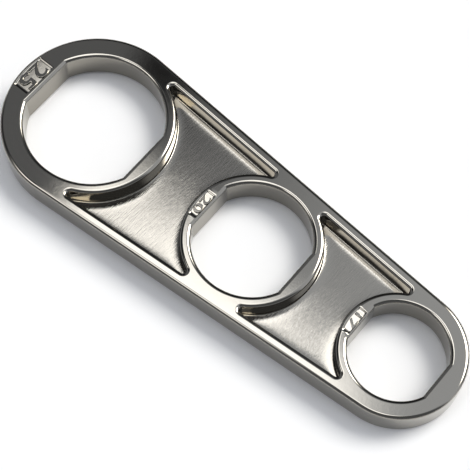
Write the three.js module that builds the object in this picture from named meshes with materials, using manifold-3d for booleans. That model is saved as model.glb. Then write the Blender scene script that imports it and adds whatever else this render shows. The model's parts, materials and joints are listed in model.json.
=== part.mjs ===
// Faucet aerator wrench: a flat bright-plated casting with three ring openings in a row.
// Each opening is a circle with two flats that grip an aerator. Between the rings the casting is
// recessed to a thin web, with a narrow rail along each side. The regions of the casting are separate
// solids that meet face to face: three rings, two webs and four rails.
// Millimetres, +Z up. +X runs from the large ring to the small one. The origin is under the middle.

import * as THREE from "three";
import { mergeVertices } from "three/addons/utils/BufferGeometryUtils.js";
import loadManifold from "manifold-3d";

// Openings: the diameter of the circle, and how far each flat stands in from it
const largeBore = 27.3;
const middleBore = 22.7;
const smallBore = 18.5;
const largeFlatDepth = 1.25;
const middleFlatDepth = 1.15;
const smallFlatDepth = 0.85;

// Metal around the openings, the recesses between the rings, and the thicknesses
const largeEndLand = 4.35;
const smallEndLand = 3.45;
const ringWall = 2.1;
const largeWebGap = 9.9;
const smallWebGap = 9.15;
const railWidth = 2.2;
const thickness = 6.2;
const webThickness = 2.2;

// Rounding, seen from above and along the edges
const openingCorner = 0.4;
const recessCorner = 0.6;
const outerEdge = 0.6;
const undersideEdge = 0.3;
const openingEdge = 0.6;
const recessEdge = 0.65;
const floorFillet = 0.5;

// Sunk pads with the across-flats size in raised digits, and the rims left beside the flats and outside.
// The pads and their digits lie a little to one side of the middle.
const largePadLength = 7.7;
const middlePadLength = 6.0;
const smallPadLength = 5.6;
const largePadRim = 1.05;
const middlePadRim = 0.5;
const smallPadRim = 0.35;
const padOuterRim = 0.55;
const padShift = 0.5;
const padDepth = 0.25;
const digitMargin = 0.1;
const digitGap = 0.5;
const digitRoot = 0.3;

// The width of a digit as a share of its pad's length, and its stroke as a share of its height
const digitShare = 0.33;
const digitWeight = 0.16;

// Fineness of the facets, and limits that keep the fillets and strokes whole
const arcStep = THREE.MathUtils.degToRad(6);
const cornerStep = THREE.MathUtils.degToRad(22);
const digitArcStep = THREE.MathUtils.degToRad(22);
const edgeSteps = 3;

const mergeDistance = 1e-5;
const cornerShare = 0.8;
const mitreLimit = 0.5;

// How far a cutting shape runs past the faces that it cuts
const past = 1.0;

const wasm = await loadManifold();
wasm.setup();

// Places that follow from the sizes. The large opening's centre is the working origin.
const largeBoss = largeBore / 2 + ringWall;
const middleBoss = middleBore / 2 + ringWall;
const smallBoss = smallBore / 2 + ringWall;
const middleX = largeBoss + largeWebGap + middleBoss;
const smallX = middleX + middleBoss + smallWebGap + smallBoss;
const largeEnd = largeBore / 2 + largeEndLand;
const smallEnd = smallBore / 2 + smallEndLand;

// The long sides are tangent to both end arcs, so each leans in by the taper angle
const taper = Math.asin((largeEnd - smallEnd) / smallX);
const sideAngle = Math.PI / 2 - taper;

const largeRing = {
  name: "large_ring",
  x: 0,
  bore: largeBore / 2,
  flat: largeBore / 2 - largeFlatDepth,
  boss: largeBoss,
  padReach: largeEnd - padOuterRim,
  padRim: largePadRim,
  padLength: largePadLength,
};
const middleRing = {
  name: "middle_ring",
  x: middleX,
  bore: middleBore / 2,
  flat: middleBore / 2 - middleFlatDepth,
  boss: middleBoss,
  padReach: middleBoss - padOuterRim,
  padRim: middlePadRim,
  padLength: middlePadLength,
};
const smallRing = {
  name: "small_ring",
  x: smallX,
  bore: smallBore / 2,
  flat: smallBore / 2 - smallFlatDepth,
  boss: smallBoss,
  padReach: smallBoss - padOuterRim,
  padRim: smallPadRim,
  padLength: smallPadLength,
};
const rings = [largeRing, middleRing, smallRing];
const recesses = [
  { web: "large_web", rail: "long_rail", left: largeRing, right: middleRing },
  { web: "small_web", rail: "short_rail", left: middleRing, right: smallRing },
];

// Points along a circular arc, both ends and the middle included
function arc(centreX, centreY, radius, from, to, step = arcStep) {
  const count = 2 * Math.ceil(Math.abs(to - from) / step / 2);
  return Array.from({ length: count + 1 }, (_, i) => {
    const angle = from + ((to - from) * i) / count;
    return new THREE.Vector2(centreX + radius * Math.cos(angle), centreY + radius * Math.sin(angle));
  });
}

// The outlines below run anticlockwise and take the distance that they grow by

function outerOutline(grow) {
  return [
    ...arc(smallX, 0, smallEnd + grow, -sideAngle, sideAngle),
    ...arc(0, 0, largeEnd + grow, sideAngle, 2 * Math.PI - sideAngle),
  ];
}

function openingOutline(ring, grow) {
  const cornerX = ring.flat - openingCorner;
  const cornerY = Math.sqrt((ring.bore - openingCorner) ** 2 - cornerX ** 2);
  const turn = Math.atan2(cornerY, cornerX);
  const corner = openingCorner + grow;
  const bore = ring.bore + grow;
  return [
    ...arc(ring.x + cornerX, -cornerY, corner, -turn, 0, cornerStep),
    ...arc(ring.x + cornerX, cornerY, corner, 0, turn, cornerStep),
    ...arc(ring.x, 0, bore, turn, Math.PI - turn).slice(1, -1),
    ...arc(ring.x - cornerX, cornerY, corner, Math.PI - turn, Math.PI, cornerStep),
    ...arc(ring.x - cornerX, -cornerY, corner, Math.PI, Math.PI + turn, cornerStep),
    ...arc(ring.x, 0, bore, Math.PI + turn, 2 * Math.PI - turn).slice(1, -1),
  ];
}

// Where a recess's corner circle lies: it touches the ring's boss and the rail, or fills a wider gap
function recessCornerAt(ring, towards) {
  const toRail = largeEnd - ring.x * Math.sin(taper) - railWidth;
  const radius = Math.max(recessCorner, (toRail - ring.boss) / 2);
  const across = toRail - radius;
  const along = towards * Math.sqrt(Math.max(0, (ring.boss + radius) ** 2 - across ** 2));
  const x = ring.x + along * Math.cos(taper) + across * Math.sin(taper);
  const y = across * Math.cos(taper) - along * Math.sin(taper);
  return { x, y, radius, seen: Math.atan2(y, x - ring.x), along: ring.x * Math.cos(taper) + along };
}

function recessOutline(recess, grow) {
  const { left, right } = recess;
  const a = recessCornerAt(left, 1);
  const b = recessCornerAt(right, -1);
  return [
    ...arc(b.x, -b.y, b.radius + grow, -sideAngle, Math.PI - b.seen, cornerStep),
    ...arc(right.x, 0, right.boss - grow, 2 * Math.PI - b.seen, b.seen).slice(1, -1),
    ...arc(b.x, b.y, b.radius + grow, b.seen - Math.PI, sideAngle, cornerStep),
    ...arc(a.x, a.y, a.radius + grow, sideAngle, Math.PI + a.seen, cornerStep),
    ...arc(left.x, 0, left.boss - grow, a.seen, -a.seen).slice(1, -1),
    ...arc(a.x, -a.y, a.radius + grow, Math.PI - a.seen, 2 * Math.PI - sideAngle, cornerStep),
  ];
}

// A closed solid through an outline at several heights. Each step is the outline's growth and the height.
function loft(outline, steps) {
  const loops = steps.map(([grow]) => outline(grow));
  const size = loops[0].length;
  const position = [];
  loops.forEach((loop, level) => loop.forEach((p) => position.push(p.x, p.y, steps[level][1])));
  const index = [];
  for (let level = 0; level + 1 < loops.length; level++) {
    for (let i = 0; i < size; i++) {
      const a = level * size + i;
      const b = level * size + ((i + 1) % size);
      index.push(a, b, b + size, a, b + size, a + size);
    }
  }
  const top = (loops.length - 1) * size;
  for (const [a, b, c] of THREE.ShapeUtils.triangulateShape(loops[0], [])) {
    index.push(a, c, b);
  }
  for (const [a, b, c] of THREE.ShapeUtils.triangulateShape(loops[loops.length - 1], [])) {
    index.push(top + a, top + b, top + c);
  }
  const geometry = new THREE.BufferGeometry();
  geometry.setAttribute("position", new THREE.Float32BufferAttribute(position, 3));
  geometry.setIndex(index);
  return geometry;
}

// Steps round a quarter circle, from a wall (share 0) to the face above it (share 1)
function quarter(make) {
  return Array.from({ length: edgeSteps + 1 }, (_, i) => {
    const angle = (Math.PI / 2) * (i / edgeSteps);
    return make(1 - Math.cos(angle), Math.sin(angle));
  });
}

// The rounded upper edge of a wall, from the wall to the top face. It leans by the sign of the radius.
function topEdge(radius) {
  const lean = Math.abs(radius);
  return quarter((out, up) => [radius * out, thickness - lean + lean * up]);
}

// The same edge on the underside, from the bottom face to the wall
function bottomEdge(radius) {
  return topEdge(radius)
    .map(([grow, z]) => [grow, thickness - z])
    .reverse();
}

// Solids for joining and cutting
function toSolid(geometry) {
  const bare = geometry.clone();
  bare.deleteAttribute("normal");
  bare.deleteAttribute("uv");
  const merged = mergeVertices(bare, mergeDistance);
  return new wasm.Manifold(
    new wasm.Mesh({
      numProp: 3,
      vertProperties: new Float32Array(merged.attributes.position.array),
      triVerts: new Uint32Array(merged.index.array),
    }),
  );
}

function toGeometry(solid) {
  const mesh = solid.getMesh();
  const geometry = new THREE.BufferGeometry();
  geometry.setAttribute("position", new THREE.BufferAttribute(new Float32Array(mesh.vertProperties), 3));
  geometry.setIndex(new THREE.BufferAttribute(new Uint32Array(mesh.triVerts), 1));
  return geometry;
}

// The whole bar without webs: outer shape, less the openings, the recesses and the sunk pads
function openingCutter(ring) {
  return loft(
    (grow) => openingOutline(ring, grow),
    [
      [openingEdge, -past],
      ...bottomEdge(openingEdge),
      ...topEdge(openingEdge),
      [openingEdge, thickness + past],
    ],
  );
}

function recessCutter(recess) {
  return loft(
    (grow) => recessOutline(recess, grow),
    [[0, -past], ...topEdge(recessEdge), [recessEdge, thickness + past]],
  );
}

// A pad lies between the flat nearest the large end and the ring's outer edge
function padCutter(ring) {
  const inner = ring.flat + ring.padRim;
  const low = -padShift - ring.padLength / 2;
  const high = -padShift + ring.padLength / 2;
  const seenLow = Math.asin(low / ring.padReach);
  const seenHigh = Math.asin(high / ring.padReach);
  const outline = [
    new THREE.Vector2(ring.x - inner, low),
    new THREE.Vector2(ring.x - inner, high),
    ...arc(ring.x, 0, ring.padReach, Math.PI - seenHigh, Math.PI - seenLow),
  ];
  return loft(() => outline, [[0, thickness - padDepth], [0, thickness + past]]);
}

// Digits as strokes in a cell that is one wide, from -0.5 to 0.5, and one high, from 0 to 1
function bow(centreX, centreY, radiusX, radiusY, fromDegrees, toDegrees) {
  const from = THREE.MathUtils.degToRad(fromDegrees);
  const to = THREE.MathUtils.degToRad(toDegrees);
  return arc(0, 0, 1, from, to, digitArcStep).map(
    (p) => new THREE.Vector2(centreX + radiusX * p.x, centreY + radiusY * p.y),
  );
}

function bar(x0, y0, x1, y1) {
  return [new THREE.Vector2(x0, y0), new THREE.Vector2(x1, y1)];
}

function ellipse(centreX, centreY, radiusX, radiusY) {
  return [
    bow(centreX, centreY, radiusX, radiusY, -100, 100),
    bow(centreX, centreY, radiusX, radiusY, 80, 280),
  ];
}

const six = [...ellipse(0, 0.3, 0.5, 0.3), bow(0.3, 0.32, 0.8, 0.68, 95, 185)];
const digitStrokes = [
  ellipse(0, 0.5, 0.5, 0.5),
  [bar(0.1, 0, 0.1, 1), bar(-0.3, 0.7, 0.15, 0.97)],
  [[...bow(0, 0.7, 0.48, 0.3, 165, -35), new THREE.Vector2(-0.45, 0.02)], bar(-0.5, 0, 0.52, 0)],
  [bow(0, 0.75, 0.42, 0.25, 155, -100), bow(0, 0.26, 0.5, 0.26, 100, -155)],
  [bar(0.22, 0, 0.22, 1), bar(0.24, 1, -0.5, 0.3), bar(-0.52, 0.3, 0.5, 0.3)],
  [bar(-0.42, 1, 0.42, 1), bar(-0.38, 1.02, -0.42, 0.5), bow(-0.02, 0.31, 0.5, 0.31, 140, -150)],
  six,
  [bar(-0.5, 1, 0.52, 1), bar(0.46, 1, -0.15, 0)],
  [...ellipse(0, 0.76, 0.4, 0.24), ...ellipse(0, 0.26, 0.5, 0.26)],
  six.map((stroke) => stroke.map((p) => new THREE.Vector2(-p.x, 1 - p.y))),
];

// A stroke of even width: both sides of its middle line, mitred at each point
function strokeShape(line, width) {
  const side = (sign) =>
    line.map((p, i) => {
      const before = line[Math.max(i - 1, 0)];
      const after = line[Math.min(i + 1, line.length - 1)];
      const into = p.clone().sub(before);
      const out = after.clone().sub(p);
      const start = into.lengthSq() > 0 ? into.normalize() : out.clone().normalize();
      const end = out.lengthSq() > 0 ? out.normalize() : start;
      const mitre = new THREE.Vector2(-(start.y + end.y), start.x + end.x).normalize();
      const lean = mitre.dot(new THREE.Vector2(-start.y, start.x));
      const length = width / 2 / Math.max(mitreLimit, lean);
      return p.clone().addScaledVector(mitre, sign * length);
    });
  return new THREE.Shape([...side(-1), ...side(1).reverse()]);
}

// The across-flats size in whole millimetres, standing on the pad with its top towards the opening
function sizeMark(ring) {
  const digits = [...String(Math.round(2 * ring.flat))].map(Number);
  const width = digitShare * ring.padLength;
  const pitch = width + digitGap;
  const lastMiddle = padShift + ((digits.length - 1) / 2) * pitch;
  const foot = ring.x - Math.sqrt(ring.padReach ** 2 - lastMiddle ** 2) + digitMargin;
  const head = ring.x - ring.flat - ring.padRim - digitMargin;
  const weight = digitWeight * (head - foot);
  const low = foot + weight / 2;
  const high = head - weight / 2;
  let mark = null;
  digits.forEach((digit, place) => {
    const middle = -padShift - (place - (digits.length - 1) / 2) * pitch;
    for (const stroke of digitStrokes[digit]) {
      const span = width - weight;
      const line = stroke.map((p) => new THREE.Vector2(low + (high - low) * p.y, middle - span * p.x));
      const depth = padDepth + digitRoot;
      const geometry = new THREE.ExtrudeGeometry(strokeShape(line, weight), { depth, bevelEnabled: false });
      geometry.translate(0, 0, thickness - depth);
      const solid = toSolid(geometry);
      mark = mark ? mark.add(solid) : solid;
    }
  });
  return mark;
}

const outerSteps = [...bottomEdge(-undersideEdge), ...topEdge(-outerEdge)];
let bars = toSolid(loft(outerOutline, outerSteps));
for (const ring of rings) {
  bars = bars.subtract(toSolid(openingCutter(ring)));
}
for (const recess of recesses) {
  bars = bars.subtract(toSolid(recessCutter(recess)));
}
for (const ring of rings) {
  bars = bars.subtract(toSolid(padCutter(ring))).add(sizeMark(ring));
}

// A block round the straight stretch of one rail, between the corners of its recess
function railBlock(recess, side) {
  const a = recessCornerAt(recess.left, 1);
  const b = recessCornerAt(recess.right, -1);
  const width = railWidth + recessCorner / 2 + past;
  const block = new THREE.BoxGeometry(b.along - a.along, width, thickness + 2 * past);
  block.translate((a.along + b.along) / 2, largeEnd + past - width / 2, thickness / 2);
  block.rotateZ(-taper);
  if (side < 0) {
    block.rotateX(Math.PI);
    block.translate(0, 0, thickness);
  }
  return toSolid(block);
}

// The rings are parted half way along each recess. A block holds all that lies between two partings.
const partings = [
  -largeEnd - past,
  ...recesses.map(({ left, right }) => (left.x + left.boss + right.x - right.boss) / 2),
  smallX + smallEnd + past,
];

function ringBlock(place) {
  const low = partings[place];
  const high = partings[place + 1];
  const block = new THREE.BoxGeometry(high - low, 2 * (largeEnd + past), thickness + 2 * past);
  block.translate((low + high) / 2, 0, thickness / 2);
  return toSolid(block);
}

// The web fills the lower part of its recess, with a fillet where its floor meets the walls.
// The fillet is held under the radius of the recess's corners, so that it has room to turn there.
function webGeometry(recess) {
  const fillet = Math.min(floorFillet, recessCorner * cornerShare, thickness - recessEdge - webThickness);
  const rise = quarter((out, up) => [-fillet * out, webThickness + fillet * (1 - up)]);
  return loft((grow) => recessOutline(recess, grow), [[0, 0], ...rise]);
}

const polished = { color: 0x8d8d8b, metalness: 1.0, roughness: 0.1 };
const satin = { color: 0x9a9a98, metalness: 1.0, roughness: 0.28 };

const wrench = new THREE.Group();
wrench.name = "faucet_aerator_wrench";
wrench.position.x = largeEnd - (largeEnd + smallX + smallEnd) / 2;

function addPiece(name, geometry, finish) {
  const piece = new THREE.Mesh(geometry, new THREE.MeshStandardMaterial(finish));
  piece.name = name;
  wrench.add(piece);
}

let ringMetal = bars;
for (const recess of recesses) {
  for (const [hand, side] of [["left", 1], ["right", -1]]) {
    const block = railBlock(recess, side);
    addPiece(`${hand}_${recess.rail}`, toGeometry(bars.intersect(block)), polished);
    ringMetal = ringMetal.subtract(block);
  }
  addPiece(recess.web, webGeometry(recess), satin);
}
rings.forEach((ring, place) => {
  addPiece(ring.name, toGeometry(ringMetal.intersect(ringBlock(place))), polished);
});

export default wrench;
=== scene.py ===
import json
import math

import bpy
from mathutils import Matrix, Vector
from mathutils.geometry import delaunay_2d_cdt


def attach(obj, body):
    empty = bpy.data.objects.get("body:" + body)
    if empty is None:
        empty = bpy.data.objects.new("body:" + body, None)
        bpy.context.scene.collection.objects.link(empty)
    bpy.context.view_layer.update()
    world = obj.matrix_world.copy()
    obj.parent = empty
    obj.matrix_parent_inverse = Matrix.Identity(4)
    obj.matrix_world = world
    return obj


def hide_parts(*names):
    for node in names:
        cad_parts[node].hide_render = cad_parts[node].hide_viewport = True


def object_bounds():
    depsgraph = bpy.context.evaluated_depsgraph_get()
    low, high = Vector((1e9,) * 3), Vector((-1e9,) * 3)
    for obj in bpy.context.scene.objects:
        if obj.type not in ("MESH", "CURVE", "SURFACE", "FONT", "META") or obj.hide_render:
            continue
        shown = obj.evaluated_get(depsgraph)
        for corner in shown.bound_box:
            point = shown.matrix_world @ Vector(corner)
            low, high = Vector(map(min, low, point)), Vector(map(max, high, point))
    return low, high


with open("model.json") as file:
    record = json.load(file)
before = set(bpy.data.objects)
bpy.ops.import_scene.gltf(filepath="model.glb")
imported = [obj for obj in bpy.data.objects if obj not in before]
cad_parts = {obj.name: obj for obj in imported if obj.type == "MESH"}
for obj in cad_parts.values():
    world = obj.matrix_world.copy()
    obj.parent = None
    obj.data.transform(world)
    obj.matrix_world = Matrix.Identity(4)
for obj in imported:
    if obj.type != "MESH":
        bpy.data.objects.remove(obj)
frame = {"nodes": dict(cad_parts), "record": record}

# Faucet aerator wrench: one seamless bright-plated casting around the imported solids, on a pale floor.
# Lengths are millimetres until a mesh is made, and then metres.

CAD_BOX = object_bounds()
MM = 0.001

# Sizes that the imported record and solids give
MOUNTS = {mount["name"]: Vector(mount["pos_m"]) / MM for mount in frame["record"]["mounts"]}
THICKNESS = CAD_BOX[1].z / MM
LEFT_END = CAD_BOX[0].x / MM
RIGHT_END = CAD_BOX[1].x / MM

# Plan sizes, as the solids have them
BORES = {"large": 27.3, "middle": 22.7, "small": 18.5}
RING_WALL = 2.1
RAIL_WIDTH = 2.2
WEB_THICKNESS = 2.2
OPENING_CORNER = 0.4
RECESS_CORNER = 0.6

# Edges: how far a rounded edge reaches in from its wall, and how far it falls
EDGE_REACH = 0.75
EDGE_FALL = 0.5
FOOT_EDGE = 0.3
OPENING_FOOT = 0.6
FLOOR_FILLET = 0.25
EDGE_STEPS = 10

# The recess floors rise softly towards their walls
DISH_RISE = 0.12
DISH_WIDTH = 0.7
FLOOR_GRID = 0.45

# Sunk pads for the size marks
PAD_RIMS = {"large": 1.05, "middle": 0.5, "small": 0.35}
PAD_LENGTHS = {"large": 7.7, "middle": 6.0, "small": 5.6}
PAD_OUTER_RIM = 0.55
PAD_SHIFT = 0.5
PAD_DEPTH = 0.24
PAD_LEANS = {"large": (0.034, 0.02), "middle": (0.0, 0.024), "small": (0.0, 0.024)}
PAD_CORNER = 0.25
PAD_CLEAR = 0.13
PAD_SOFTNESS = 0.08
PAD_FADE = 2.5
PAD_STEPS = [(0.1, 0.0), (0.03, 0.06), (-0.05, 0.3), (-0.13, 0.7), (-0.21, 0.94), (-0.28, 1.0)]

# Raised digits on the pads
DIGIT_SHARE = 0.33
DIGIT_MARGIN = 0.1
DIGIT_STRETCHES = {"large": 1.3, "middle": 1.75, "small": 1.75}
DIGIT_SINK = 0.2
DIGIT_BEVEL = 0.022
FONT_HEIGHT = 0.7

# Facets
ARC_STEP = math.radians(1.5)
CORNER_STEP = math.radians(12)
LINE_STEP = 1.5

RINGS = ("large", "middle", "small")
RECESSES = (("large", "middle"), ("middle", "small"))


class Ring:
    """One ring opening: its centre, bore, flats and the round boss that the recesses run up to."""

    def __init__(self, name):
        near = MOUNTS[name + "_opening_near_flat"].x
        far = MOUNTS[name + "_opening_far_flat"].x
        self.name = name
        self.x = (near + far) / 2
        self.flat = (far - near) / 2
        self.bore = BORES[name] / 2
        self.boss = self.bore + RING_WALL
        self.reach = self.x - LEFT_END if name == "large" else self.boss


rings = {name: Ring(name) for name in RINGS}
large_end = rings["large"].x - LEFT_END
small_end = RIGHT_END - rings["small"].x
span = rings["small"].x - rings["large"].x
taper = math.asin((large_end - small_end) / span)
side_angle = math.pi / 2 - taper


# Outlines: anticlockwise lists of (x, y, outward x, outward y), so that any offset follows at once

def arc(cx, cy, radius, start, end, step=ARC_STEP, inward=False):
    count = max(2, 2 * math.ceil(abs(end - start) / step / 2))
    points = []
    for i in range(count + 1):
        angle = start + (end - start) * i / count
        c, s = math.cos(angle), math.sin(angle)
        sign = -1 if inward else 1
        points.append((cx + radius * c, cy + radius * s, sign * c, sign * s))
    return points


def closed(*runs):
    """Joins runs into one loop, with points along the straight stretches between them."""
    points = []
    for i, run in enumerate(runs):
        following = runs[(i + 1) % len(runs)]
        for p in run:
            if not points or math.dist(points[-1][:2], p[:2]) > 1e-6:
                points.append(p)
        a, b = run[-1], following[0]
        count = max(1, round(math.dist(a[:2], b[:2]) / LINE_STEP))
        for k in range(1, count):
            t = k / count
            points.append((a[0] + (b[0] - a[0]) * t, a[1] + (b[1] - a[1]) * t, a[2], a[3]))
    if math.dist(points[0][:2], points[-1][:2]) < 1e-6:
        points.pop()
    return points


def outer_outline():
    return closed(
        arc(rings["small"].x, 0, small_end, -side_angle, side_angle),
        arc(rings["large"].x, 0, large_end, side_angle, 2 * math.pi - side_angle),
    )


def opening_outline(ring):
    k = OPENING_CORNER
    cx = ring.flat - k
    cy = math.sqrt((ring.bore - k) ** 2 - cx ** 2)
    turn = math.atan2(cy, cx)
    pi = math.pi
    return closed(
        arc(ring.x + cx, cy, k, 0, turn, CORNER_STEP),
        arc(ring.x, 0, ring.bore, turn, pi - turn),
        arc(ring.x - cx, cy, k, pi - turn, pi, CORNER_STEP),
        arc(ring.x - cx, -cy, k, pi, pi + turn, CORNER_STEP),
        arc(ring.x, 0, ring.bore, pi + turn, 2 * pi - turn),
        arc(ring.x + cx, -cy, k, 2 * pi - turn, 2 * pi, CORNER_STEP),
    )


def recess_corner(ring, towards):
    """Centre of a recess's corner circle, which touches the ring's boss and the rail."""
    offset = ring.x - rings["large"].x
    across = large_end - offset * math.sin(taper) - RAIL_WIDTH - RECESS_CORNER
    along = towards * math.sqrt((ring.boss + RECESS_CORNER) ** 2 - across ** 2)
    x = ring.x + along * math.cos(taper) + across * math.sin(taper)
    y = across * math.cos(taper) - along * math.sin(taper)
    return x, y, math.atan2(y, x - ring.x)


def recess_outline(left, right):
    ax, ay, a_seen = recess_corner(left, 1)
    bx, by, b_seen = recess_corner(right, -1)
    k = RECESS_CORNER
    pi = math.pi
    return closed(
        arc(bx, -by, k, -side_angle, pi - b_seen, CORNER_STEP),
        arc(right.x, 0, right.boss, 2 * pi - b_seen, b_seen, inward=True),
        arc(bx, by, k, b_seen - pi, side_angle, CORNER_STEP),
        arc(ax, ay, k, side_angle, pi + a_seen, CORNER_STEP),
        arc(left.x, 0, left.boss, a_seen, -a_seen, inward=True),
        arc(ax, -ay, k, pi - a_seen, 2 * pi - side_angle, CORNER_STEP),
    )


def pad_outline(ring, grow):
    """The pad between the flat nearest the large end and the ring's outer edge. Its ends grow faster."""
    inner = ring.flat + PAD_RIMS[ring.name] - grow
    reach = ring.reach - PAD_OUTER_RIM + grow
    half = PAD_LENGTHS[ring.name] / 2 + PAD_FADE * grow
    low = -PAD_SHIFT - half
    high = -PAD_SHIFT + half
    k = PAD_CORNER
    pi = math.pi

    def outer_corner(y):
        return ring.x - math.sqrt((reach - k) ** 2 - y ** 2), y

    top = outer_corner(high - k)
    bottom = outer_corner(low + k)
    top_seen = math.atan2(top[1], top[0] - ring.x) % (2 * pi)
    bottom_seen = math.atan2(bottom[1], bottom[0] - ring.x) % (2 * pi)
    return closed(
        arc(ring.x - inner - k, high - k, k, 0, pi / 2, CORNER_STEP),
        arc(*top, k, pi / 2, top_seen, CORNER_STEP),
        arc(ring.x, 0, reach, top_seen, bottom_seen),
        arc(*bottom, k, bottom_seen, 1.5 * pi, CORNER_STEP),
        arc(ring.x - inner - k, low + k, k, 1.5 * pi, 2 * pi, CORNER_STEP),
    )


# Meshes are gathered as places and normals in millimetres, and triangles or quads between them

class Skin:
    def __init__(self):
        self.points = []
        self.normals = []
        self.faces = []
        self.finishes = []

    def add(self, x, y, z, normal):
        self.points.append((x, y, z))
        self.normals.append(Vector(normal).normalized())
        return len(self.points) - 1

    def loop(self, outline, grow, z, tilt, lift):
        """One loop of points at an offset. The normal leans outward by tilt and up by lift."""
        return [
            self.add(x + grow * nx, y + grow * ny, z, (tilt * nx, tilt * ny, lift))
            for x, y, nx, ny in outline
        ]

    def face(self, corners, finish):
        self.faces.append(corners)
        self.finishes.append(finish)

    def strip(self, low, high, finish, flip=False):
        """Quads between two loops. The outside is on the right going along, unless flipped."""
        count = len(low)
        for i in range(count):
            j = (i + 1) % count
            quad = [low[i], low[j], high[j], high[i]]
            self.face(quad[::-1] if flip else quad, finish)

    def fill(self, loops, holes, finish, upward=True, loose=(), bound=None):
        """Triangles between loops and loose points in one sheet. No face spans a hole's own loop."""
        ids = [i for loop in loops for i in loop] + list(loose)
        spot = {vertex: k for k, vertex in enumerate(ids)}
        flat = [Vector(self.points[i][:2]) for i in ids]
        edges = []
        for loop in loops:
            edges += [(spot[loop[i]], spot[loop[(i + 1) % len(loop)]]) for i in range(len(loop))]
        self.sheet(ids, flat, edges, [set(hole) for hole in holes], finish, upward, bound)

    def sheet(self, ids, flat, edges, holes, finish, upward, bound=None):
        verts, _, faces, origin, _, _ = delaunay_2d_cdt(flat, edges, [], 1, 1e-7)
        if len(verts) != len(flat):
            raise ValueError("the sheet's lines cross")
        for tri in faces:
            corners = [ids[origin[k][0]] for k in tri]
            if any(all(c in hole for c in corners) for hole in holes):
                continue
            a, b, c = (Vector(self.points[k][:2]) for k in corners)
            if bound and not inside(bound, *((a + b + c) / 3), 0):
                continue
            turn = (b - a).cross(c - a)
            self.face(corners if (turn > 0) == upward else corners[::-1], finish)


POLISHED, FLOOR = 0, 1


def top_profile():
    """Steps from a wall to the land: distance in, height, and the normal's lean and lift."""
    for i in range(EDGE_STEPS + 1):
        angle = math.pi / 2 * i / EDGE_STEPS
        c, s = math.cos(angle), math.sin(angle)
        yield EDGE_REACH * (1 - c), THICKNESS - EDGE_FALL * (1 - s), c / EDGE_REACH, s / EDGE_FALL


def foot_profile(radius):
    """Steps from the underside to a wall: distance in, height, and the normal's lean and fall."""
    steps = EDGE_STEPS // 2
    for i in range(steps + 1):
        angle = math.pi / 2 * (1 - i / steps)
        c, s = math.cos(angle), math.sin(angle)
        yield radius * (1 - c), radius * (1 - s), c, -s


def land_height(ring, x, y):
    """Height of the land near a pad, where the flat's edge and the ring's outer edge round it off."""
    fall = 0.0
    for inset in (ring.x - x - ring.flat, ring.reach - math.hypot(x - ring.x, y)):
        if 0 <= inset < EDGE_REACH:
            c = 1 - inset / EDGE_REACH
            fall += EDGE_FALL * (1 - math.sqrt(1 - c * c))
    return THICKNESS - fall


def pad_loops(ring):
    """Loops down a pad's edge, as places and normals, from the land to the pad's floor."""
    lean_x, lean_y = PAD_LEANS[ring.name]
    middle = ring.x - (ring.flat + PAD_RIMS[ring.name] + ring.reach - PAD_OUTER_RIM) / 2
    step = 0.01
    slopes = [PAD_DEPTH * share * (1 - share) / PAD_SOFTNESS for _, share in PAD_STEPS]
    for (grow, share), slope in zip(PAD_STEPS, slopes):
        loop = []
        for x, y, nx, ny in pad_outline(ring, grow):
            land = land_height(ring, x, y)
            along = (land_height(ring, x + step, y) - land) / step * (1 - share)
            across = (land_height(ring, x, y + step) - land) / step * (1 - share)
            floor = THICKNESS - PAD_DEPTH - lean_x * (x - middle) + lean_y * (y + PAD_SHIFT)
            normal_x = lean_x * share - along - slope * nx
            normal_y = -lean_y * share - across - slope * ny / PAD_FADE
            loop.append(((x, y, land * (1 - share) + floor * share), (normal_x, normal_y, 1)))
        yield loop


def inside(outline, x, y, grow):
    """Whether a point lies inside an outline that has grown by a distance."""
    hit = False
    points = [(px + grow * nx, py + grow * ny) for px, py, nx, ny in outline]
    for (ax, ay), (bx, by) in zip(points, points[1:] + points[:1]):
        if (ay > y) != (by > y) and x < ax + (bx - ax) * (y - ay) / (by - ay):
            hit = not hit
    return hit


def dish(left, right, x, y):
    """Rise of a recess floor and its slope, from the distance to each of its four walls."""
    rise, slope_x, slope_y = 0.0, 0.0, 0.0
    walls = []
    for ring in (left, right):
        away = math.hypot(x - ring.x, y)
        walls.append((away - ring.boss, (x - ring.x) / away, y / away))
    for side in (1, -1):
        offset = x - rings["large"].x
        inset = large_end - RAIL_WIDTH - offset * math.sin(taper) - side * y * math.cos(taper)
        walls.append((inset, -math.sin(taper), -side * math.cos(taper)))
    for distance, gx, gy in walls:
        part = DISH_RISE * math.exp(-distance / DISH_WIDTH)
        rise += part
        slope_x -= part / DISH_WIDTH * gx
        slope_y -= part / DISH_WIDTH * gy
    return rise, slope_x, slope_y


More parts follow.
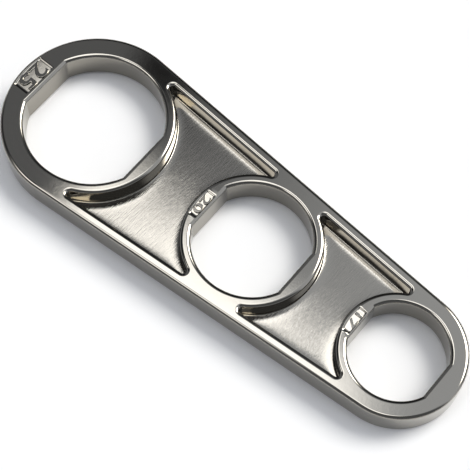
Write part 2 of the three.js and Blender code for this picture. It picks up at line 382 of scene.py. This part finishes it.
def build_casting():
    skin = Skin()
    pads = [pad_outline(rings[name], PAD_CLEAR) for name in RINGS]
    sheet_loops = []
    open_runs = []
    hole_loops = []
    foot_loops = []
    foot_holes = []

    def in_pad(x, y):
        return any(inside(pad, x, y, 0) for pad in pads)

    def edge(outline, side):
        """The rounded upper edge along an outline. Side is 1 where metal lies outside the outline."""
        loops = []
        for inset, z, lean, lift in top_profile():
            loops.append(skin.loop(outline, side * inset, z, -side * lean, lift))
        for loop in loops:
            keep = [not in_pad(*skin.points[i][:2]) for i in loop]
            open_runs.append((loop, keep))
        return loops

    def wall(outline, side, top_loop, radius):
        """The wall below an edge and its rounded foot on the underside."""
        loops = [
            skin.loop(outline, side * inset, z, -side * lean, fall)
            for inset, z, lean, fall in foot_profile(radius)
        ]
        rows = loops + [top_loop]
        for low, high in zip(rows, rows[1:]):
            skin.strip(low, high, POLISHED, flip=side > 0)
        foot_loops.append(loops[0])
        return loops[0]

    outline = outer_outline()
    loops = edge(outline, -1)
    wall(outline, -1, loops[0], FOOT_EDGE)
    for name in RINGS:
        outline = opening_outline(rings[name])
        loops = edge(outline, 1)
        hole_loops.append(loops[0])
        foot_holes.append(wall(outline, 1, loops[0], OPENING_FOOT))
    for left, right in RECESSES:
        outline = recess_outline(rings[left], rings[right])
        loops = edge(outline, 1)
        hole_loops.append(loops[0])
        build_recess(skin, rings[left], rings[right], outline, loops[0])
    for name in RINGS:
        for loop in pad_loops(rings[name]):
            sheet_loops.append([skin.add(*place, normal) for place, normal in loop])
    fill_top(skin, open_runs, sheet_loops, hole_loops)
    skin.fill(foot_loops, foot_holes, POLISHED, upward=False)
    return skin


def fill_top(skin, open_runs, sheet_loops, hole_loops):
    """The land: all edge loops outside the pads, and the pads' own loops, in one sheet."""
    ids, edges = [], []
    spot = {}

    def place(vertex):
        if vertex not in spot:
            spot[vertex] = len(ids)
            ids.append(vertex)
        return spot[vertex]

    for loop, keep in open_runs + [(loop, [True] * len(loop)) for loop in sheet_loops]:
        for i, vertex in enumerate(loop):
            j = (i + 1) % len(loop)
            if keep[i]:
                place(vertex)
                if keep[j]:
                    edges.append((place(vertex), place(loop[j])))
    flat = [Vector(skin.points[i][:2]) for i in ids]
    skin.sheet(ids, flat, edges, [set(loop) for loop in hole_loops], POLISHED, True)


def build_recess(skin, left, right, outline, rim):
    """A recess below its upper edge: the wall, the fillet at its foot and the dished floor."""
    steps = EDGE_STEPS // 2
    rows = [rim]
    for i in range(steps + 1):
        angle = math.pi / 2 * i / steps
        c, s = math.cos(angle), math.sin(angle)
        loop = []
        for x, y, nx, ny in outline:
            inset = FLOOR_FILLET * (1 - c)
            px, py = x - inset * nx, y - inset * ny
            rise, slope_x, slope_y = dish(left, right, px, py)
            z = WEB_THICKNESS + rise + FLOOR_FILLET * (1 - s)
            loop.append(skin.add(px, py, z, (-c * nx - s * slope_x, -c * ny - s * slope_y, s)))
        rows.append(loop)
    for high, low in zip(rows, rows[1:]):
        skin.strip(low, high, FLOOR if high is not rim else POLISHED, flip=True)
    loose = []
    x = left.x
    while x < right.x:
        y = -large_end
        while y < large_end:
            if inside(outline, x, y, -FLOOR_FILLET - FLOOR_GRID / 2):
                rise, slope_x, slope_y = dish(left, right, x, y)
                loose.append(skin.add(x, y, WEB_THICKNESS + rise, (-slope_x, -slope_y, 1)))
            y += FLOOR_GRID
        x += FLOOR_GRID
    skin.fill([rows[-1]], [], FLOOR, loose=loose, bound=outline)


def make_object(name, skin, materials):
    used = sorted({i for face in skin.faces for i in face})
    spot = {vertex: k for k, vertex in enumerate(used)}
    mesh = bpy.data.meshes.new(name)
    mesh.from_pydata(
        [Vector(skin.points[i]) * MM for i in used], [], [[spot[i] for i in face] for face in skin.faces]
    )
    for material in materials:
        mesh.materials.append(material)
    mesh.polygons.foreach_set("material_index", skin.finishes)
    mesh.polygons.foreach_set("use_smooth", [True] * len(mesh.polygons))
    mesh.normals_split_custom_set_from_vertices([skin.normals[i] for i in used])
    mesh.validate()
    obj = bpy.data.objects.new(name, mesh)
    bpy.context.scene.collection.objects.link(obj)
    return obj


def size_mark(ring, material):
    """The across-flats size in raised digits with rounded edges, their tops towards the opening."""
    reach = ring.reach - PAD_OUTER_RIM
    end = PAD_SHIFT + DIGIT_SHARE * PAD_LENGTHS[ring.name]
    foot = ring.x - math.sqrt(reach ** 2 - end ** 2) + DIGIT_MARGIN
    head = ring.x - ring.flat - PAD_RIMS[ring.name] - DIGIT_MARGIN
    tall = PAD_DEPTH + DIGIT_SINK
    unit = (head - foot) / FONT_HEIGHT
    curve = bpy.data.curves.new("size_mark_" + ring.name, "FONT")
    curve.body = str(round(2 * ring.flat))
    curve.resolution_u = 6
    curve.bevel_depth = DIGIT_BEVEL
    curve.bevel_resolution = 4
    curve.extrude = max(tall / 2 / unit - DIGIT_BEVEL, 0)
    text = bpy.data.objects.new(curve.name, curve)
    bpy.context.scene.collection.objects.link(text)
    bpy.context.view_layer.update()
    mesh = bpy.data.meshes.new_from_object(text)
    bpy.data.objects.remove(text)
    low = [min(v.co[axis] for v in mesh.vertices) for axis in range(3)]
    high = [max(v.co[axis] for v in mesh.vertices) for axis in range(3)]
    width = DIGIT_STRETCHES[ring.name] * (head - foot) * (high[0] - low[0]) / (high[1] - low[1])
    for vertex in mesh.vertices:
        across, up, out = ((vertex.co[axis] - low[axis]) / (high[axis] - low[axis]) for axis in range(3))
        x = foot + up * (head - foot)
        y = -PAD_SHIFT - (across - 0.5) * width
        vertex.co = Vector((x, y, THICKNESS - tall * (1 - out))) * MM
    mesh.materials.clear()
    mesh.materials.append(material)
    mesh.polygons.foreach_set("use_smooth", [True] * len(mesh.polygons))
    obj = bpy.data.objects.new("size_mark_" + ring.name, mesh)
    bpy.context.scene.collection.objects.link(obj)
    return obj


# Materials

PLATING_COLOUR = (0.33, 0.31, 0.27, 1)


def node(tree, kind, **values):
    made = tree.nodes.new(kind)
    for key, value in values.items():
        if key in made.inputs:
            made.inputs[key].default_value = value
        else:
            setattr(made, key, value)
    return made


def plating(name, roughness, stretch, bump):
    """Bright plating: metal whose gloss varies a little, over faint ripples."""
    material = bpy.data.materials.new(name)
    material.use_nodes = True
    tree = material.node_tree
    shader = tree.nodes["Principled BSDF"]
    shader.inputs["Base Color"].default_value = PLATING_COLOUR
    shader.inputs["Metallic"].default_value = 1.0
    coords = node(tree, "ShaderNodeTexCoord")
    mapping = node(tree, "ShaderNodeMapping", Scale=stretch)
    tree.links.new(coords.outputs["Object"], mapping.inputs["Vector"])
    grain = node(tree, "ShaderNodeTexNoise", Scale=1.0, Detail=4.0, Roughness=0.6)
    tree.links.new(mapping.outputs["Vector"], grain.inputs["Vector"])
    gloss = node(tree, "ShaderNodeMapRange")
    gloss.inputs["To Min"].default_value = roughness[0]
    gloss.inputs["To Max"].default_value = roughness[1]
    tree.links.new(grain.outputs["Fac"], gloss.inputs["Value"])
    tree.links.new(gloss.outputs["Result"], shader.inputs["Roughness"])
    ripple = node(tree, "ShaderNodeBump", Strength=1.0, Distance=bump)
    tree.links.new(grain.outputs["Fac"], ripple.inputs["Height"])
    tree.links.new(ripple.outputs["Normal"], shader.inputs["Normal"])
    return material


# Stage

CAMERA_TARGET = Vector((1.43, -0.32, 3.0)) * MM
CAMERA_AZIMUTH = math.radians(39.18)
CAMERA_ELEVATION = math.radians(66.22)
CAMERA_ROLL = math.radians(0.68)
CAMERA_DISTANCE = 275.5 * MM
CAMERA_LENS = 112.93


def add_camera():
    camera = bpy.data.cameras.new("camera")
    camera.lens = CAMERA_LENS
    camera.sensor_width = 36.0
    camera.clip_start = 0.01
    obj = bpy.data.objects.new("camera", camera)
    turn = (
        Matrix.Rotation(CAMERA_AZIMUTH, 4, "Z")
        @ Matrix.Rotation(math.pi / 2 - CAMERA_ELEVATION, 4, "X")
        @ Matrix.Rotation(CAMERA_ROLL, 4, "Z")
    )
    back = Matrix.Translation((0, 0, CAMERA_DISTANCE))
    obj.matrix_world = Matrix.Translation(CAMERA_TARGET) @ turn @ back
    bpy.context.scene.collection.objects.link(obj)
    bpy.context.scene.camera = obj


def add_floor():
    half = 2.0
    mesh = bpy.data.meshes.new("floor")
    corners = [(-half, -half, 0), (half, -half, 0), (half, half, 0), (-half, half, 0)]
    mesh.from_pydata(corners, [], [(0, 1, 2, 3)])
    material = bpy.data.materials.new("floor")
    material.use_nodes = True
    shader = material.node_tree.nodes["Principled BSDF"]
    shader.inputs["Base Color"].default_value = (0.97, 0.97, 0.97, 1)
    shader.inputs["Roughness"].default_value = 1.0
    shader.inputs["Specular IOR Level"].default_value = 0.0
    mesh.materials.append(material)
    floor = bpy.data.objects.new("floor", mesh)
    bpy.context.scene.collection.objects.link(floor)


# The studio, by direction: x and y are the sideways parts of a unit vector, z its height.
# A patch is four soft edges, left, right, near and far, each from where it starts to where it ends.
SOFT_BOX = ((-0.37, -0.335), (-0.16, -0.085), (-0.04, 0.06), (0.265, 0.325))
OVERHEAD_BOX = ((-0.18, -0.1), (0.03, 0.1), (-0.16, -0.06), (0.1, 0.2))
SIDE_BOX = ((-0.62, -0.44), (-0.2, -0.1), (-0.5, -0.38), (-0.2, -0.1))
FAR_BANK = ((-0.1, 0.02), (0.36, 0.5), (0.38, 0.48), (0.72, 0.82))
DARK_FLAG = ((-0.385, -0.36), (-0.35, -0.315), (0.335, 0.35), (0.37, 0.4))
BOX_LIGHT = 3.3
BANK_LIGHT = 12.5
FLAG_SHADE = 0.85

# The room brightens from left to right, and darkens towards the front and the far side
ROOM_SIDES = (-0.36, -0.12)
ROOM_LIGHT = (0.28, 0.95)
ROOM_FRONT = (0.05, 0.22)
FRONT_SHARE = 0.2
ROOM_FAR = (0.42, 0.56)
FAR_SHARE = 0.15

# A dim band round the horizon lights the other sides. It fades out on the far left
ROOM_LOW = (0.3, 0.75)
LOW_LIGHT = 0.45
LOW_FAR = (0.1, 0.45)
LOW_RIGHT = (0.2, 0.45)

# The level at which the pale floor just reaches white
STUDIO_LEVEL = 0.92

ROOM_TINT = (0.88, 0.93, 1.03)
BOX_TINT = (0.99, 1.0, 1.03)
BANK_TINT = (1.02, 1.0, 0.96)


def add_studio():
    """A dim room, darkest behind the camera, with soft boxes overhead and a bank of light beyond."""
    world = bpy.data.worlds.new("studio")
    bpy.context.scene.world = world
    world.use_nodes = True
    tree = world.node_tree
    coords = node(tree, "ShaderNodeTexCoord")
    split = node(tree, "ShaderNodeSeparateXYZ")
    tree.links.new(coords.outputs["Generated"], split.inputs["Vector"])

    def ramp(axis, band, from_value, to_value):
        made = node(tree, "ShaderNodeMapRange", interpolation_type="SMOOTHSTEP")
        for key, value in zip(("From Min", "From Max", "To Min", "To Max"), (*band, from_value, to_value)):
            made.inputs[key].default_value = value
        tree.links.new(split.outputs[axis], made.inputs["Value"])
        return made.outputs["Result"]

    def combine(operation, *values):
        total = values[0]
        for value in values[1:]:
            made = node(tree, "ShaderNodeMath", operation=operation)
            tree.links.new(total, made.inputs[0])
            tree.links.new(value, made.inputs[1])
            total = made.outputs["Value"]
        return total

    def patch(edges, low, high):
        """A value that is high inside the patch and low outside, above the horizon."""
        left, right, near, far = edges
        share = combine(
            "MULTIPLY",
            ramp("X", left, 0, 1),
            ramp("X", right, 1, 0),
            ramp("Y", near, 0, 1),
            ramp("Y", far, 1, 0),
        )
        made = node(tree, "ShaderNodeMapRange")
        made.inputs["To Min"].default_value = low
        made.inputs["To Max"].default_value = high
        tree.links.new(share, made.inputs["Value"])
        return made.outputs["Result"]

    def tint(value, colour):
        made = node(tree, "ShaderNodeVectorMath", operation="SCALE")
        made.inputs[0].default_value = colour
        tree.links.new(value, made.inputs["Scale"])
        return made.outputs["Vector"]

    def total(a, b):
        made = node(tree, "ShaderNodeVectorMath", operation="ADD")
        tree.links.new(a, made.inputs[0])
        tree.links.new(b, made.inputs[1])
        return made.outputs["Vector"]

    room = combine(
        "MULTIPLY",
        ramp("X", ROOM_SIDES, *ROOM_LIGHT),
        ramp("Y", ROOM_FRONT, FRONT_SHARE, 1),
        ramp("Y", ROOM_FAR, 1, FAR_SHARE),
        patch(DARK_FLAG, 1, 1 - FLAG_SHADE),
    )
    low_share = combine("MAXIMUM", ramp("Y", LOW_FAR, 1, FAR_SHARE), ramp("X", LOW_RIGHT, 0, 1))
    low = combine("MULTIPLY", ramp("Z", ROOM_LOW, LOW_LIGHT, 0), low_share)
    room = combine("MAXIMUM", room, low)
    boxes = (SOFT_BOX, OVERHEAD_BOX, SIDE_BOX)
    overhead = combine("MAXIMUM", *(patch(box, 0, BOX_LIGHT) for box in boxes))
    bank = patch(FAR_BANK, 0, BANK_LIGHT)
    light = total(total(tint(room, ROOM_TINT), tint(overhead, BOX_TINT)), tint(bank, BANK_TINT))
    background = tree.nodes["Background"]
    background.inputs["Strength"].default_value = STUDIO_LEVEL
    tree.links.new(light, background.inputs["Color"])


bpy.context.scene.view_settings.view_transform = "Standard"
add_camera()
add_studio()
add_floor()

polished = plating("bright_plating", (0.03, 0.06), (900, 900, 900), 0.000002)
satin = plating("recess_floor_plating", (0.04, 0.1), (4000, 500, 2000), 0.000011)
casting = make_object("wrench_casting", build_casting(), [polished, satin])
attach(casting, "root")
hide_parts(*frame["nodes"])
for name in RINGS:
    mark = size_mark(rings[name], polished)
    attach(mark, "root")
